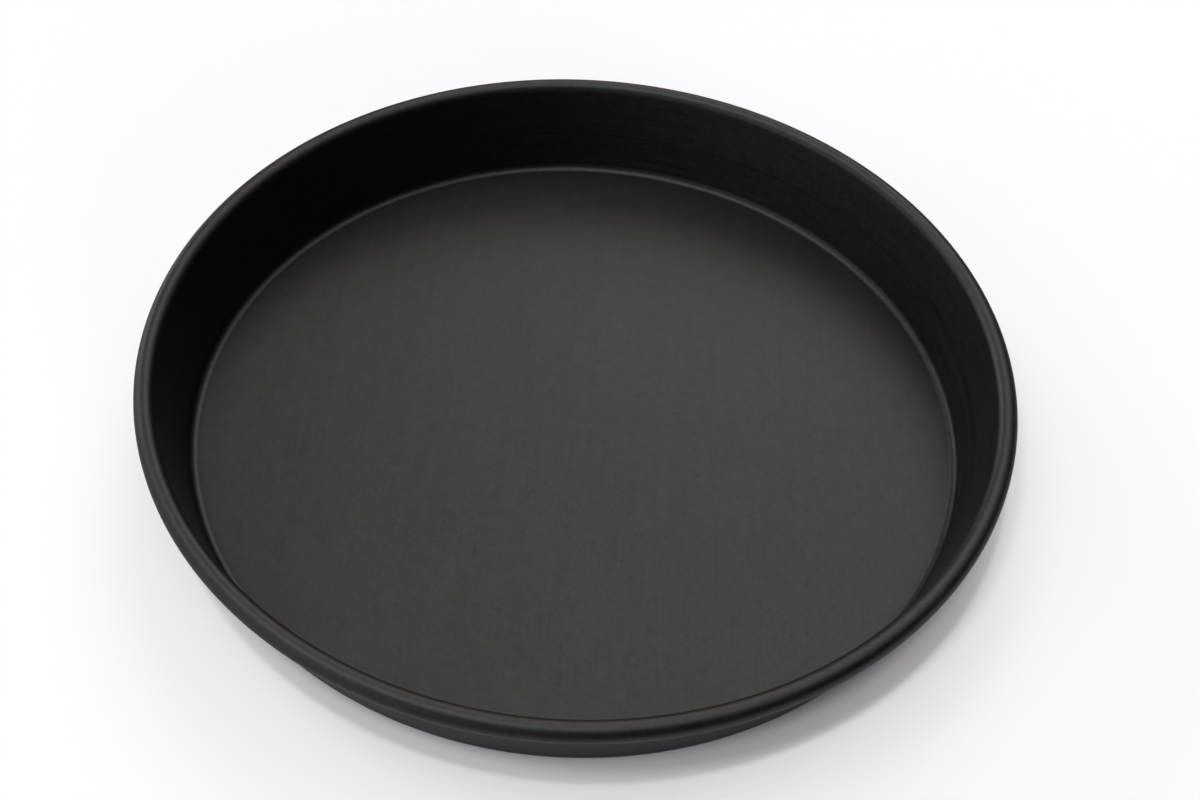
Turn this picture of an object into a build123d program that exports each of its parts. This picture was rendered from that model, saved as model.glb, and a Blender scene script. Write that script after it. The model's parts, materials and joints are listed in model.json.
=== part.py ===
from build123d import *
import math
import os

os.makedirs("parts", exist_ok=True)

# Driving dimensions of the pan, in millimetres
mouth_diameter = 304.8  # across the opening, between the inner sides of the bead
inside_depth = 38.1  # from the top of the bead down to the floor
sheet_thickness = 1.63
corner_radius = 3.2  # inside, where the floor turns up into the wall
bead_diameter = 7.4  # outside the rolled edge
curl_gap = 0.6  # left between the wall and the tucked edge of the sheet
edge_bevel = 0.3  # on both corners of that trimmed edge

# Driving angle, in degrees
wall_lean = 13.24  # outward from upright

# The section is drawn with X as the distance from the pan's axis and Y as the height.
# The bead's circle touches the mouth's width and the rim's height.
bead_radius = bead_diameter / 2
bead_centre = Vector(
    mouth_diameter / 2 + bead_radius,
    sheet_thickness + inside_depth - bead_radius,
)

# The inside of the wall rises to that circle and meets it at a tangent
wall_rise = Vector(0, 1).rotate(Axis.Z, -wall_lean)
wall_outward = Vector(1, 0).rotate(Axis.Z, -wall_lean)
wall_top = bead_centre - wall_outward * bead_radius

# The sheet curls over, out, down and back in, until its edge is one gap away from the wall
tuck_reach = bead_radius - sheet_thickness - curl_gap
curl_sweep = 360 - math.degrees(math.acos(tuck_reach / bead_radius))


def draw_sheet_side(depth):
    """Draws the floor, corner, wall and curl at a depth under the face that holds the food."""
    floor_height = sheet_thickness - depth
    wall_end = wall_top + wall_outward * depth
    wall_length = (wall_end.Y - floor_height) / wall_rise.Y
    floor_and_wall = FilletPolyline(
        Vector(0, floor_height),
        wall_end - wall_rise * wall_length,
        wall_end,
        radius=corner_radius + depth,
    )
    curl = JernArc(
        start=floor_and_wall @ 1,
        tangent=floor_and_wall % 1,
        radius=bead_radius - depth,
        arc_size=-curl_sweep,
    )
    return floor_and_wall @ 0, curl @ 1


with BuildPart() as pan:
    with BuildSketch(Plane.XZ) as section:
        with BuildLine():
            food_side_start, food_side_end = draw_sheet_side(depth=0)
            back_side_start, back_side_end = draw_sheet_side(depth=sheet_thickness)
            Line(food_side_start, back_side_start)
            Line(food_side_end, back_side_end)
        make_face()
        # The shortest straight edges are the sheet's two ends: on the axis and in the bead
        sheet_ends = section.edges().filter_by(GeomType.LINE).sort_by(SortBy.LENGTH)[:2]
        trimmed_edge = sheet_ends.sort_by(Axis.X)[-1]
        chamfer(trimmed_edge.vertices(), length=edge_bevel)
    revolve(axis=Axis.Z)

pan.part.label = "pan"
export_step(pan.part, "parts/pan.step")
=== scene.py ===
import json
import math

import bpy
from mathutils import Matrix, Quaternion, Vector, noise


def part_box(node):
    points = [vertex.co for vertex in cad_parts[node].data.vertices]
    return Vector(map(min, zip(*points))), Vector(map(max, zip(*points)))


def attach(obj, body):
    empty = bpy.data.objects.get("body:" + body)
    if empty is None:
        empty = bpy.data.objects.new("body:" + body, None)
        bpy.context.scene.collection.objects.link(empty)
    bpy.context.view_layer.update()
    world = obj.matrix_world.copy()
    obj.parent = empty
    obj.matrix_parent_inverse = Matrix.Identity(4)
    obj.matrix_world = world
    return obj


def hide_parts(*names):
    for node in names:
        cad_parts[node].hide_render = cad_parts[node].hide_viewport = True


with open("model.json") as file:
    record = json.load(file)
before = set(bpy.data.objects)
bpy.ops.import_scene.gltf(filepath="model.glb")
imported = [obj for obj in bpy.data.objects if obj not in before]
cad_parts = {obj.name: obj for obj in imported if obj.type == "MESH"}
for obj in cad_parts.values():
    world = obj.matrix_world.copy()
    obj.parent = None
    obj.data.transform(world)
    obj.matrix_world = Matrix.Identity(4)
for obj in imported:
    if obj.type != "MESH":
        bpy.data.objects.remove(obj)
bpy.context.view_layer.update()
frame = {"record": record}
mm = 0.001
print("frame loaded")


# Short ways to build node trees

def addNode(tree, kind, **settings):
    node = tree.nodes.new(kind)
    node.location = (160 * len(tree.nodes), -90 * (len(tree.nodes) % 4))
    for name, value in settings.items():
        setattr(node, name, value)
    return node


def plug(tree, source, node, socket):
    # source is another node's output, or a plain number or colour for the socket itself
    if isinstance(source, bpy.types.NodeSocket):
        tree.links.new(source, node.inputs[socket])
    else:
        node.inputs[socket].default_value = source


def mathNode(tree, operation, first, second=None, third=None):
    node = addNode(tree, "ShaderNodeMath", operation=operation)
    for index, value in enumerate((first, second, third)):
        if value is not None:
            plug(tree, value, node, index)
    return node.outputs[0]


def fade(tree, value, start, end):
    # 0 at start, 1 at end, smooth between them
    node = addNode(tree, "ShaderNodeMapRange", interpolation_type="SMOOTHSTEP")
    for socket, given in (("Value", value), ("From Min", start), ("From Max", end)):
        plug(tree, given, node, socket)
    return node.outputs["Result"]


def noiseNode(tree, vector, scale, detail=2.0):
    # signed: about -0.5 to 0.5
    node = addNode(tree, "ShaderNodeTexNoise")
    plug(tree, vector, node, "Vector")
    plug(tree, scale, node, "Scale")
    plug(tree, detail, node, "Detail")
    return mathNode(tree, "SUBTRACT", node.outputs["Fac"], 0.5)


def combine(tree, x, y, z):
    node = addNode(tree, "ShaderNodeCombineXYZ")
    for socket, value in (("X", x), ("Y", y), ("Z", z)):
        plug(tree, value, node, socket)
    return node.outputs[0]


def splitVector(tree, vector):
    node = addNode(tree, "ShaderNodeSeparateXYZ")
    plug(tree, vector, node, "Vector")
    return node.outputs["X"], node.outputs["Y"], node.outputs["Z"]


def newGroup(name, inputs, outputs):
    group = bpy.data.node_groups.new(name, "ShaderNodeTree")
    for label, kind, value in inputs:
        socket = group.interface.new_socket(label, in_out="INPUT", socket_type=kind)
        if value is not None:
            socket.default_value = value
    for label in outputs:
        group.interface.new_socket(
            label, in_out="OUTPUT", socket_type="NodeSocketFloat"
        )
    return group, addNode(group, "NodeGroupInput"), addNode(group, "NodeGroupOutput")


def placeGroup(tree, group, values):
    node = addNode(tree, "ShaderNodeGroup", node_tree=group)
    for label, value in values.items():
        plug(tree, value, node, label)
    return node.outputs


# Camera, where the photograph was taken from

cameraSet = {
    "place": (0.0, -0.433726, 0.505804),
    "aim": (0.008671, 0.011919, 0.0),
    "roll": 3.905,  # degrees about its own line of sight
    "lens": 52.368,
    "sensor": 36.0,
}


def addCamera():
    data = bpy.data.cameras.new("studioCamera")
    data.lens = cameraSet["lens"]
    data.sensor_width = cameraSet["sensor"]
    data.clip_start = 0.01
    camera = bpy.data.objects.new("studioCamera", data)
    camera.location = cameraSet["place"]
    sight = Vector(cameraSet["aim"]) - Vector(cameraSet["place"])
    camera.rotation_mode = "QUATERNION"
    roll = Quaternion((0, 0, 1), math.radians(cameraSet["roll"]))
    camera.rotation_quaternion = sight.to_track_quat("-Z", "Y") @ roll
    bpy.context.scene.collection.objects.link(camera)
    bpy.context.scene.camera = camera
    bpy.context.scene.view_settings.view_transform = "Standard"


addCamera()
print("camera placed")


# The pan, one sheet turned about its axis

panSet = {
    "beadDiameter": 7.4 * mm,
    "wallLean": 13.24,  # degrees outward from upright
    "cornerRadius": 3.2 * mm,  # on the food side
    "curlGap": 0.6 * mm,  # between the wall and the tucked edge
    "edgeRound": 0.3 * mm,  # on the trimmed edge's corners
    "segments": 360,
    "floorRings": 26,
    "floorCloser": 2.2,  # how much closer the floor's rings come towards the corner
    "cornerSteps": 12,
    "wallSteps": 78,
    "beadSteps": 46,
    "edgeSteps": 3,
    "hollowSteps": 18,
    "floorWave": 0.05 * mm,  # how far the flat floor is from true
    "floorWaveLength": 85 * mm,
    "beadWave": 0.03 * mm,
    "beadTurns": 2.4,  # the higher, the more often it wanders on its way round
    "wallWave": 0.05 * mm,
    "wallTurns": 0.9,
    "passTurns": 1.6,
}

# Passes of the forming roller up the wall: how far up it, as a share, how deep and
# how wide
rollerPasses = [
    (0.13, 0.006 * mm, 1.1 * mm),
    (0.27, 0.008 * mm, 1.4 * mm),
    (0.44, 0.020 * mm, 1.0 * mm),
    (0.53, 0.007 * mm, 1.3 * mm),
    (0.63, 0.013 * mm, 1.2 * mm),
    (0.70, 0.014 * mm, 1.0 * mm),
    (0.78, 0.016 * mm, 1.1 * mm),
    (0.86, 0.012 * mm, 1.2 * mm),
    (0.93, 0.008 * mm, 1.0 * mm),
]


def arcPoints(centre, radius, startAngle, endAngle, steps):
    points = []
    for step in range(steps + 1):
        angle = math.radians(startAngle + (endAngle - startAngle) * step / steps)
        points.append(centre + Vector((math.cos(angle), math.sin(angle))) * radius)
    return points


def linePoints(start, end, steps):
    # without its two ends
    return [start.lerp(end, step / steps) for step in range(1, steps)]


def roundedCorner(before, corner, after, reach, steps):
    # a small bend from before the corner to after it
    start = corner + (before - corner).normalized() * reach
    end = corner + (after - corner).normalized() * reach
    points = []
    for step in range(steps + 1):
        share = step / steps
        points.append(start.lerp(corner, share).lerp(corner.lerp(end, share), share))
    return points


def panSection():
    # Runs of the section, in order: x is the distance from the axis, y the height
    low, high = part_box("pan")
    mounts = {mount["name"]: mount for mount in frame["record"]["mounts"]}
    sheet = mounts["floor"]["pos_m"][2]
    lean = panSet["wallLean"]
    corner = panSet["cornerRadius"]
    bead = panSet["beadDiameter"] / 2
    hollow = bead - sheet
    outward = Vector((math.cos(math.radians(lean)), -math.sin(math.radians(lean))))
    beadCentre = Vector(((high.x - low.x) / 2 - bead, high.z - bead))
    wallTop = beadCentre - outward * bead
    flat = (wallTop.dot(outward) - corner - (sheet + corner) * outward.y) / outward.x
    cornerCentre = Vector((flat, sheet + corner))
    wallFoot = cornerCentre + outward * corner
    curlStart = 180 - lean
    curlSweep = 360 - math.degrees(math.acos((hollow - panSet["curlGap"]) / bead))
    curlEnd = curlStart - curlSweep
    floorRadii = [
        flat * (1 - (1 - ring / panSet["floorRings"]) ** panSet["floorCloser"])
        for ring in range(panSet["floorRings"])
    ]
    beadArc = arcPoints(beadCentre, bead, curlStart, curlEnd, panSet["beadSteps"])
    hollowArc = arcPoints(beadCentre, hollow, curlEnd, curlStart, panSet["hollowSteps"])
    aroundEdge = [beadArc[-2], beadArc[-1], hollowArc[0], hollowArc[1]]
    edge = []
    for first in (0, 1):
        bend = aroundEdge[first:first + 3]
        edge += roundedCorner(*bend, panSet["edgeRound"], panSet["edgeSteps"])
    backCorner = arcPoints(
        cornerCentre, corner + sheet, -lean, -90, panSet["cornerSteps"]
    )
    wallSteps = panSet["wallSteps"]
    return [
        ("floor", [Vector((radius, sheet)) for radius in floorRadii]),
        ("corner", arcPoints(cornerCentre, corner, -90, -lean, panSet["cornerSteps"])),
        ("wall", linePoints(wallFoot, wallTop, wallSteps)),
        ("bead", beadArc[:-1]),
        ("edge", edge),
        ("bead", hollowArc[1:]),
        ("wall", linePoints(hollowArc[-1], backCorner[0], wallSteps // 2)),
        ("corner", backCorner),
        ("base", [Vector((radius, 0)) for radius in reversed(floorRadii)]),
    ], wallFoot, wallTop, flat


def ringNoise(angle, row, turns):
    # a smooth number that closes on itself once round the pan
    return noise.noise(Vector((math.cos(angle) * turns, math.sin(angle) * turns, row)))


def passDepth(share, angle, wallLength):
    depth = 0
    for row, (height, deep, wide) in enumerate(rollerPasses):
        gap = (share - height) * wallLength / wide
        if abs(gap) < 3:
            strength = 0.75 + 0.5 * ringNoise(angle, row * 7.3, panSet["passTurns"])
            depth += deep * strength * math.exp(-gap * gap * 2)
    return depth


def wave(reach, value):
    # from a signed noise to a distance between 0 and reach
    return reach * (0.5 + 0.5 * value)


def turnPan():
    runs, wallFoot, wallTop, flat = panSection()
    outward = Vector((wallTop.y - wallFoot.y, wallFoot.x - wallTop.x)).normalized()
    rise = wallTop - wallFoot
    segments = panSet["segments"]
    vertices, rings = [], []
    for run, points in runs:
        for point in points:
            if point.x < 1e-9:
                rings.append([len(vertices)])
                vertices.append((0, 0, point.y))
                continue
            rings.append(range(len(vertices), len(vertices) + segments))
            share = min(1, max(0, (point - wallFoot).dot(rise) / rise.length_squared))
            for segment in range(segments):
                angle = 2 * math.pi * segment / segments
                x, y = math.cos(angle), math.sin(angle)
                place = point.copy()
                if run in ("floor", "base"):
                    # the sheet isn't quite flat; it is true again at the corner
                    at = Vector((x * point.x, y * point.x, 0))
                    bumps = noise.noise(at / panSet["floorWaveLength"])
                    calm = 1 - (point.x / flat) ** 4
                    place.y += wave(panSet["floorWave"] * calm, bumps)
                if run == "wall":
                    place += outward * passDepth(share, angle, rise.length)
                if run in ("wall", "bead", "edge"):
                    # the wall and the bead wander a little, more towards the rim
                    aside = ringNoise(angle, 3.1, panSet["wallTurns"])
                    place.x -= wave(panSet["wallWave"] * share, aside)
                if run in ("bead", "edge"):
                    dip = ringNoise(angle, 9.7, panSet["beadTurns"])
                    place.y -= wave(panSet["beadWave"], dip)
                vertices.append((x * place.x, y * place.x, place.y))
    faces = []
    for ringA, ringB in zip(rings, rings[1:]):
        for segment in range(segments):
            after = (segment + 1) % segments
            if len(ringA) == 1:
                face = ringA[0], ringB[segment], ringB[after]
            elif len(ringB) == 1:
                face = ringA[segment], ringB[0], ringA[after]
            else:
                face = ringA[segment], ringB[segment], ringB[after], ringA[after]
            faces.append(face)
    mesh = bpy.data.meshes.new("pizzaPan")
    mesh.from_pydata(vertices, [], faces)
    mesh.validate()
    mesh.polygons.foreach_set("use_smooth", [True] * len(mesh.polygons))
    pan = bpy.data.objects.new("pizzaPan", mesh)
    bpy.context.scene.collection.objects.link(pan)
    return pan, flat


pan, flatRadius = turnPan()
print("pan turned:", len(pan.data.vertices), "points,", len(pan.data.polygons), "faces")


# Effects that the finish is mixed from. Each group puts out tones, and most of them a
# height, for the material to weigh. Tones and heights are signed, around nothing.

def makeGrain():
    # Fine matt grain of the etched and anodised skin, with soft clouds in it
    group, given, made = newGroup(
        "anodisedGrain",
        [
            ("Place", "NodeSocketVector", None),
            ("Grain", "NodeSocketFloat", 1.5 * mm),
            ("Mottle", "NodeSocketFloat", 4.5 * mm),
            ("Cloud", "NodeSocketFloat", 30 * mm),
        ],
        ["Tone", "Height", "Mottle Tone", "Cloud Tone"],
    )
    # turned out of line with the sheet, so that the noise's own grid doesn't show
    turned = addNode(group, "ShaderNodeMapping")
    plug(group, given.outputs["Place"], turned, "Vector")
    plug(group, (0.6, 0.4, 0.7), turned, "Rotation")
    layers = []
    for label, detail in (("Grain", 1.0), ("Mottle", 1.0), ("Cloud", 2.0)):
        scale = mathNode(group, "DIVIDE", 1.0, given.outputs[label])
        layers.append(noiseNode(group, turned.outputs[0], scale, detail))
    plug(group, layers[0], made, "Tone")
    plug(group, layers[0], made, "Height")
    plug(group, layers[1], made, "Mottle Tone")
    plug(group, layers[2], made, "Cloud Tone")
    return group


def makeRollStreaks():
    # Straight streaks that the rolling mill leaves in sheet, along the pan's Y
    group, given, made = newGroup(
        "rollStreaks",
        [
            ("Place", "NodeSocketVector", None),
            ("Width", "NodeSocketFloat", 0.9 * mm),
            ("Length", "NodeSocketFloat", 26 * mm),
        ],
        ["Tone", "Height"],
    )
    x, y, z = splitVector(group, given.outputs["Place"])
    across = mathNode(group, "DIVIDE", x, given.outputs["Width"])
    along = mathNode(group, "DIVIDE", y, given.outputs["Length"])
    fine = noiseNode(group, combine(group, across, along, z), 1.0, 2.0)
    broad = noiseNode(group, combine(group, across, along, 4.0), 0.22, 1.0)
    plug(group, mathNode(group, "MULTIPLY_ADD", broad, 0.8, fine), made, "Tone")
    plug(group, fine, made, "Height")
    return group


def makeSpinLines():
    # Fine rings left by forming, steady round the pan and broken up here and there.
    # Among them are a few dark scores that come and go, and one long one.
    group, given, made = newGroup(
        "spinLines",
        [
            ("Place", "NodeSocketVector", None),
            ("Pitch", "NodeSocketFloat", 0.7 * mm),
            ("Turns", "NodeSocketFloat", 1.3),
            ("Score Pitch", "NodeSocketFloat", 0.9 * mm),
            ("Long Score", "NodeSocketFloat", 18 * mm),
            ("Score Width", "NodeSocketFloat", 0.32 * mm),
        ],
        ["Tone", "Height", "Score"],
    )
    x, y, z = splitVector(group, given.outputs["Place"])
    squared = mathNode(group, "MULTIPLY_ADD", y, y, mathNode(group, "MULTIPLY", x, x))
    radius = mathNode(group, "SQRT", squared)
    around = []
    for axis in (x, y):
        facing = mathNode(group, "DIVIDE", axis, radius)
        around.append(mathNode(group, "MULTIPLY", facing, given.outputs["Turns"]))
    # along the section: up the wall or in along the floor
    up = mathNode(group, "MULTIPLY_ADD", radius, 0.6, z)
    row = mathNode(group, "DIVIDE", up, given.outputs["Pitch"])
    fine = noiseNode(group, combine(group, *around, row), 1.0, 1.0)
    broadRow = mathNode(group, "MULTIPLY", row, 0.21)
    broad = noiseNode(group, combine(group, *around, broadRow), 1.0, 1.0)
    plug(group, mathNode(group, "MULTIPLY_ADD", broad, 0.7, fine), made, "Tone")
    plug(group, fine, made, "Height")

    scoreRow = mathNode(group, "DIVIDE", up, given.outputs["Score Pitch"])
    marks = noiseNode(group, combine(group, *around, scoreRow), 1.7, 0.0)
    scores = fade(group, marks, 0.22, 0.32)
    # the long score wanders up and down a little on its way round
    wander = noiseNode(group, combine(group, *around, 31.0), 2.0, 1.0)
    longScore = given.outputs["Long Score"]
    line = mathNode(group, "MULTIPLY_ADD", wander, 1.1 * mm, longScore)
    gap = mathNode(group, "ABSOLUTE", mathNode(group, "SUBTRACT", z, line))
    score = fade(group, gap, given.outputs["Score Width"], 0.0)
    breaks = noiseNode(group, combine(group, *around, 57.0), 2.6, 2.0)
    kept = fade(group, breaks, -0.22, 0.05)
    plug(group, mathNode(group, "MULTIPLY_ADD", score, kept, scores), made, "Score")
    return group


def makeSpecks():
    # A few pin-sized bright and dark specks, one to a cell at the most
    group, given, made = newGroup(
        "straySpecks",
        [
            ("Place", "NodeSocketVector", None),
            ("Spacing", "NodeSocketFloat", 12 * mm),
            ("Size", "NodeSocketFloat", 0.34 * mm),
        ],
        ["Tone"],
    )
    spacing, size = given.outputs["Spacing"], given.outputs["Size"]
    cells = addNode(group, "ShaderNodeTexVoronoi")
    plug(group, given.outputs["Place"], cells, "Vector")
    plug(group, mathNode(group, "DIVIDE", 1.0, spacing), cells, "Scale")
    reach = mathNode(group, "MULTIPLY", cells.outputs["Distance"], spacing)
    spot = fade(group, reach, size, mathNode(group, "MULTIPLY", size, 0.4))
    red, green, blue = splitVector(group, cells.outputs["Color"])
    sign = mathNode(group, "SUBTRACT", green, 0.5)  # bright or dark
    kept = fade(group, red, 0.70, 0.85)
    speck = mathNode(group, "MULTIPLY", mathNode(group, "MULTIPLY", spot, kept), sign)
    plug(group, speck, made, "Tone")
    return group


finishSet = {
    "tone": (0.0466, 0.0455, 0.0457),
    "toneRange": 0.30,  # how far the tone may go either way, as a share
    "metallic": 1.0,
    "roughness": 0.50,
    "edgeTint": 0.75,  # the matt skin mirrors less than bare metal at a glancing angle
    "grainTone": 1.15,
    "wallGrain": 0.4,  # how much stronger the grain is on the wall, added to 1
    "mottleTone": 0.8,
    "cloudTone": 0.35,
    "streakTone": 0.6,
    "lineTone": 1.25,
    "scoreTone": -1.4,
    "speckTone": 3.5,
    "cornerPaintedShade": -0.4,  # painted shade: the bend at the foot of the wall is darkened to dim its highlight
    "grainDeep": 0.0022 * mm,
    "streakDeep": 0.0015 * mm,
    "lineDeep": 0.004 * mm,
    "scoreDeep": -0.012 * mm,
    "roughnessRange": 0.05,  # how much rougher a lighter tone is
}

# Where one part's finish gives way to the next: distances out from the edge of the
# flat floor, and heights. Each goes from nothing to all of it.
finishBands = {
    "formed": (-3 * mm, 1 * mm),
    # the two bands below place the painted shade on the bend at the foot of the wall
    "paintedShadeOut": (-1.5 * mm, 1 * mm),
    "paintedShadeHeight": (6 * mm, 3.5 * mm),
    "wallFoot": (6 * mm, 9 * mm),
    "wallTop": (35 * mm, 33 * mm),
}


def anodisedMaterial():
    material = bpy.data.materials.new("anodisedSheet")
    material.use_nodes = True
    tree = material.node_tree
    tree.nodes.clear()
    output = addNode(tree, "ShaderNodeOutputMaterial")
    shader = addNode(tree, "ShaderNodeBsdfPrincipled")
    plug(tree, shader.outputs[0], output, "Surface")
    place = addNode(tree, "ShaderNodeTexCoord").outputs["Object"]
    x, y, z = splitVector(tree, place)
    squared = mathNode(tree, "MULTIPLY_ADD", y, y, mathNode(tree, "MULTIPLY", x, x))
    radius = mathNode(tree, "SQRT", squared)
    beyondFlat = mathNode(tree, "SUBTRACT", radius, flatRadius)

    def band(value, name):
        return fade(tree, value, *finishBands[name])

    def both(first, second):
        return mathNode(tree, "MULTIPLY", first, second)

    formed = band(beyondFlat, "formed")  # 0 on the flat, 1 on the wall
    flatShare = mathNode(tree, "SUBTRACT", 1.0, formed)
    onWall = both(band(z, "wallFoot"), band(z, "wallTop"))
    # painted shade: where the bend at the foot of the wall is darkened to dim its
    # highlight
    paintedShadeAtCorner = both(band(z, "paintedShadeHeight"), band(beyondFlat, "paintedShadeOut"))

    grain = placeGroup(tree, makeGrain(), {"Place": place})
    streaks = placeGroup(tree, makeRollStreaks(), {"Place": place})
    lines = placeGroup(tree, makeSpinLines(), {"Place": place})
    specks = placeGroup(tree, makeSpecks(), {"Place": place})

    wallGrain = mathNode(tree, "MULTIPLY_ADD", formed, finishSet["wallGrain"], 1.0)

    def weigh(pairs):
        total = 0.0
        for value, weight in pairs:
            total = mathNode(tree, "MULTIPLY_ADD", value, weight, total)
        return total

    wallScores = both(lines["Score"], onWall)
    tone = weigh([
        (grain["Tone"], both(wallGrain, finishSet["grainTone"])),
        (grain["Mottle Tone"], finishSet["mottleTone"]),
        (grain["Cloud Tone"], finishSet["cloudTone"]),
        (both(streaks["Tone"], flatShare), finishSet["streakTone"]),
        (both(lines["Tone"], formed), finishSet["lineTone"]),
        (wallScores, finishSet["scoreTone"]),
        (specks["Tone"], finishSet["speckTone"]),
        # painted shade that dims the highlight on the bend at the foot of the wall
        (paintedShadeAtCorner, finishSet["cornerPaintedShade"]),
    ])
    share = mathNode(tree, "MULTIPLY_ADD", tone, finishSet["toneRange"], 1.0)
    colour = addNode(tree, "ShaderNodeVectorMath", operation="SCALE")
    plug(tree, finishSet["tone"], colour, 0)
    plug(tree, share, colour, "Scale")
    plug(tree, colour.outputs[0], shader, "Base Color")
    shader.inputs["Metallic"].default_value = finishSet["metallic"]
    shader.inputs["Specular Tint"].default_value = (finishSet["edgeTint"],) * 3 + (1,)
    rough = mathNode(
        tree, "MULTIPLY_ADD", tone, finishSet["roughnessRange"], finishSet["roughness"]
    )
    plug(tree, rough, shader, "Roughness")

    height = weigh([
        (grain["Height"], finishSet["grainDeep"]),
        (both(streaks["Height"], flatShare), finishSet["streakDeep"]),
        (both(lines["Height"], formed), finishSet["lineDeep"]),
        (wallScores, finishSet["scoreDeep"]),
    ])
    bump = addNode(tree, "ShaderNodeBump")
    plug(tree, 1.0, bump, "Strength")
    plug(tree, 1.0, bump, "Distance")
    plug(tree, height, bump, "Height")
    plug(tree, bump.outputs[0], shader, "Normal")
    return material


pan.data.materials.append(anodisedMaterial())
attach(pan, "root")
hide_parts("pan")
print("pan finished")


# Studio: a pale table, soft light from a few round windows, and lamps for its shadow

studioSet = {
    "tableTone": (0.499, 0.493, 0.497, 1),
    "tableSize": 40.0,
    # how far the pan mirrors the table, towards the front and all other ways
    "mirroredFront": 0.26,
    "mirroredSides": 0.60,
    "backdrop": 0.985,  # what the camera sees past the table
    "ambient": 0.008,
}

# Each window's angle from straight above, its bearing from +X and how far it reaches,
# in degrees, then its brightness and its tint
studioWindows = {
    "ceilingLamp": (11.6, 241.0, 22.7, 5.94, (0.937, 1.017, 1.011)),
    "ceilingBack": (27.9, 45.4, 38.7, 1.77, (1.08, 0.979, 0.972)),
    "windowBack": (54.3, 84.6, 23.2, 5.10, (1.073, 0.984, 0.938)),
    "windowLeft": (30.4, 165.0, 21.8, 4.68, (0.91, 1.02, 1.04)),
    "lowBackLeft": (74.7, 136.6, 20.0, 6.98, (0.994, 0.992, 1.087)),
    "lowLeft": (100.0, 203.3, 90.0, 1.40, (1.021, 0.997, 0.961)),
}

# Lamps over the table, each with its angle from straight above, its bearing, its width,
# its strength and its tint. They soften the shadow and aren't mirrored in the pan.
tableLamps = {
    "lampHigh": (12.4, 230.0, 4.0, 1.04, (1.012, 1.002, 0.985)),
    "lampLeft": (24.0, 222.0, 8.0, 0.88, (1.006, 0.998, 1.02)),
    "lampFront": (25.5, 262.0, 12.0, 1.36, (1.0, 0.988, 1.085)),
    "lampLow": (76.0, 300.0, 24.0, 0.73, (1.0, 0.99, 1.07)),
}


def addTable():
    material = bpy.data.materials.new("tableWhite")
    material.use_nodes = True
    shader = material.node_tree.nodes["Principled BSDF"]
    shader.inputs["Base Color"].default_value = studioSet["tableTone"]
    shader.inputs["Roughness"].default_value = 0.9
    shader.inputs["Specular IOR Level"].default_value = 0.0

    half = studioSet["tableSize"] / 2
    side = studioSet["mirroredSides"]
    front = studioSet["mirroredFront"]
    outer = [(-half, -half, 0), (half, -half, 0), (half, half, 0), (-half, half, 0)]
    inner = [(-side, -front, 0), (side, -front, 0), (side, side, 0), (-side, side, 0)]
    around = [(i, (i + 1) % 4, (i + 1) % 4 + 4, i + 4) for i in range(4)]
    for name, corners, faces in (
        ("studioTable", inner, [(0, 1, 2, 3)]),
        ("studioTableAround", outer + inner, around),
    ):
        mesh = bpy.data.meshes.new(name)
        mesh.from_pydata(corners, [], faces)
        mesh.materials.append(material)
        table = bpy.data.objects.new(name, mesh)
        table.visible_glossy = name == "studioTable"
        bpy.context.scene.collection.objects.link(table)


def towards(zenith, bearing):
    zenith, bearing = math.radians(zenith), math.radians(bearing)
    across = math.sin(zenith)
    return Vector(
        (across * math.cos(bearing), across * math.sin(bearing), math.cos(zenith))
    )


def lightStudio():
    world = bpy.data.worlds.new("studioWorld")
    bpy.context.scene.world = world
    world.use_nodes = True
    tree = world.node_tree
    direction = addNode(tree, "ShaderNodeTexCoord").outputs["Generated"]
    light = (studioSet["ambient"],) * 3
    for zenith, bearing, reach, brightness, tint in studioWindows.values():
        facing = addNode(tree, "ShaderNodeVectorMath", operation="DOT_PRODUCT")
        plug(tree, direction, facing, 0)
        plug(tree, towards(zenith, bearing), facing, 1)
        away = mathNode(tree, "ARCCOSINE", facing.outputs["Value"])
        inside = fade(tree, away, math.radians(reach), 0.0)
        added = addNode(tree, "ShaderNodeVectorMath", operation="MULTIPLY_ADD")
        plug(tree, inside, added, 0)
        plug(tree, Vector(tint) * brightness, added, 1)
        plug(tree, light, added, 2)
        light = added.outputs["Vector"]
    # past the table, below the horizon, the room is dark
    dark = addNode(tree, "ShaderNodeVectorMath", operation="SCALE")
    plug(tree, light, dark, 0)
    height = splitVector(tree, direction)[2]
    plug(tree, fade(tree, height, -0.01, 0.01), dark, "Scale")
    seen = addNode(tree, "ShaderNodeMix", data_type="VECTOR")
    plug(tree, addNode(tree, "ShaderNodeLightPath").outputs["Is Camera Ray"], seen, 0)
    plug(tree, dark.outputs[0], seen, 4)
    plug(tree, (studioSet["backdrop"],) * 3, seen, 5)
    plug(tree, seen.outputs[1], tree.nodes["Background"], "Color")

    for name, (zenith, bearing, width, strength, tint) in tableLamps.items():
        light = bpy.data.lights.new(name, "SUN")
        light.energy = strength
        light.color = tint
        light.angle = math.radians(width)
        lamp = bpy.data.objects.new(name, light)
        lamp.visible_glossy = False
        lamp.rotation_mode = "QUATERNION"
        lamp.rotation_quaternion = towards(zenith, bearing).to_track_quat("Z", "Y")
        bpy.context.scene.collection.objects.link(lamp)


addTable()
lightStudio()
print("studio lit")
